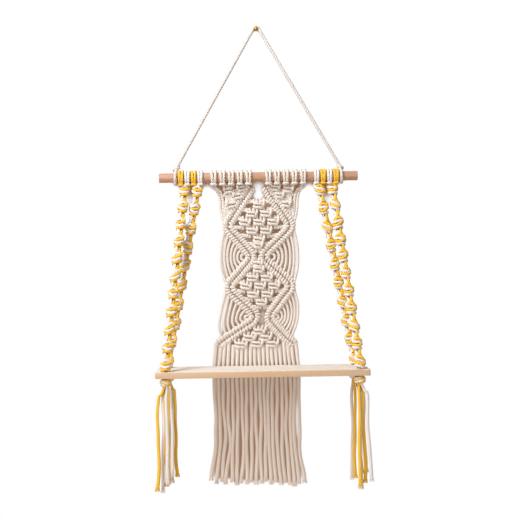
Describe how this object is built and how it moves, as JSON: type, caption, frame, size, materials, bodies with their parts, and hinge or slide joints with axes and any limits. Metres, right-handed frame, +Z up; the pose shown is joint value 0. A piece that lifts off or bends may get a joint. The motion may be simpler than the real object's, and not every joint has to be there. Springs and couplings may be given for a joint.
{
  "type": "hanging rope shelf",
  "caption": "Hanging shelf: a thin wooden board on knotted cotton sennits below a wooden dowel, with a knotted panel and fringe behind it, hung on a nail by a rope",
  "frame": {"origin": "where the nail enters the wall, on the nail's axis", "axes": "+Z up, the wall is the plane Y = 0 and the front faces -Y, +X to the right seen from the front"},
  "size_m": [0.41, 0.1605, 0.9347],
  "materials": {
    "brass_nail": "aged",
    "beech_dowel": "raw",
    "pine_board": "raw",
    "white_cotton": "twisted cotton",
    "yellow_cotton": "twisted cotton"
  },
  "bodies": {
    "nail": {"wall_nail": "brass_nail"},
    "hanger": {"hanger_rope": "white_cotton", "dowel": "beech_dowel", "panel_left_outer_ridge": "white_cotton", "panel_left_inner_ridge": "white_cotton", "panel_right_outer_ridge": "white_cotton", "panel_right_inner_ridge": "white_cotton", "panel_left_heads": "white_cotton", "panel_right_heads": "white_cotton", "panel_upper_diamond": "white_cotton", "panel_lower_diamond": "white_cotton", "panel_foot": "white_cotton"},
    "shelf": {"shelf_board": "pine_board", "left_front_sennit": "yellow_cotton", "left_back_sennit": "yellow_cotton", "right_front_sennit": "yellow_cotton", "right_back_sennit": "yellow_cotton"},
    "fringe": {"fringe_strand_01": "white_cotton", "fringe_strand_02": "white_cotton", "fringe_strand_03": "white_cotton", "fringe_strand_04": "white_cotton", "fringe_strand_05": "white_cotton", "fringe_strand_06": "white_cotton", "fringe_strand_07": "white_cotton", "fringe_strand_08": "white_cotton", "fringe_strand_09": "white_cotton", "fringe_strand_10": "white_cotton", "fringe_strand_11": "white_cotton", "fringe_strand_12": "white_cotton", "fringe_strand_13": "white_cotton", "fringe_strand_14": "white_cotton", "fringe_strand_15": "white_cotton", "fringe_strand_16": "white_cotton", "fringe_strand_17": "white_cotton", "fringe_strand_18": "white_cotton", "fringe_strand_19": "white_cotton", "fringe_strand_20": "white_cotton"},
    "left_front_tassel": {"left_front_tassel_yellow_1": "yellow_cotton", "left_front_tassel_white_1": "white_cotton", "left_front_tassel_yellow_2": "yellow_cotton", "left_front_tassel_white_2": "white_cotton"},
    "left_back_tassel": {"left_back_tassel_yellow_1": "yellow_cotton", "left_back_tassel_white_1": "white_cotton", "left_back_tassel_yellow_2": "yellow_cotton", "left_back_tassel_white_2": "white_cotton"},
    "right_front_tassel": {"right_front_tassel_yellow_1": "yellow_cotton", "right_front_tassel_white_1": "white_cotton", "right_front_tassel_yellow_2": "yellow_cotton", "right_front_tassel_white_2": "white_cotton"},
    "right_back_tassel": {"right_back_tassel_yellow_1": "yellow_cotton", "right_back_tassel_white_1": "white_cotton", "right_back_tassel_yellow_2": "yellow_cotton", "right_back_tassel_white_2": "white_cotton"}
  },
  "joints": [
    {"name": "hanger_on_nail", "type": "hinge", "parent": "nail", "child": "hanger", "pos_m": [0, 0, 0], "axis": [0, 1, 0], "range_deg": [-10, 10]},
    {"name": "shelf_about_dowel", "type": "hinge", "parent": "hanger", "child": "shelf", "pos_m": [0, -0.0176, -0.302], "axis": [-1, 0, 0], "range_deg": [0, 30]},
    {"name": "fringe_swing", "type": "hinge", "parent": "hanger", "child": "fringe", "pos_m": [0, -0.0115, -0.6943], "axis": [-1, 0, 0], "range_deg": [0, 30]},
    {"name": "left_front_tassel_swing", "type": "hinge", "parent": "shelf", "child": "left_front_tassel", "pos_m": [-0.186, -0.12855, -0.7117], "axis": [0, 1, 0], "range_deg": [-15, 15]},
    {"name": "left_back_tassel_swing", "type": "hinge", "parent": "shelf", "child": "left_back_tassel", "pos_m": [-0.186, -0.03055, -0.7117], "axis": [0, 1, 0], "range_deg": [-15, 15]},
    {"name": "right_front_tassel_swing", "type": "hinge", "parent": "shelf", "child": "right_front_tassel", "pos_m": [0.186, -0.12855, -0.7117], "axis": [0, 1, 0], "range_deg": [-15, 15]},
    {"name": "right_back_tassel_swing", "type": "hinge", "parent": "shelf", "child": "right_back_tassel", "pos_m": [0.186, -0.03055, -0.7117], "axis": [0, 1, 0], "range_deg": [-15, 15]}
  ]
}
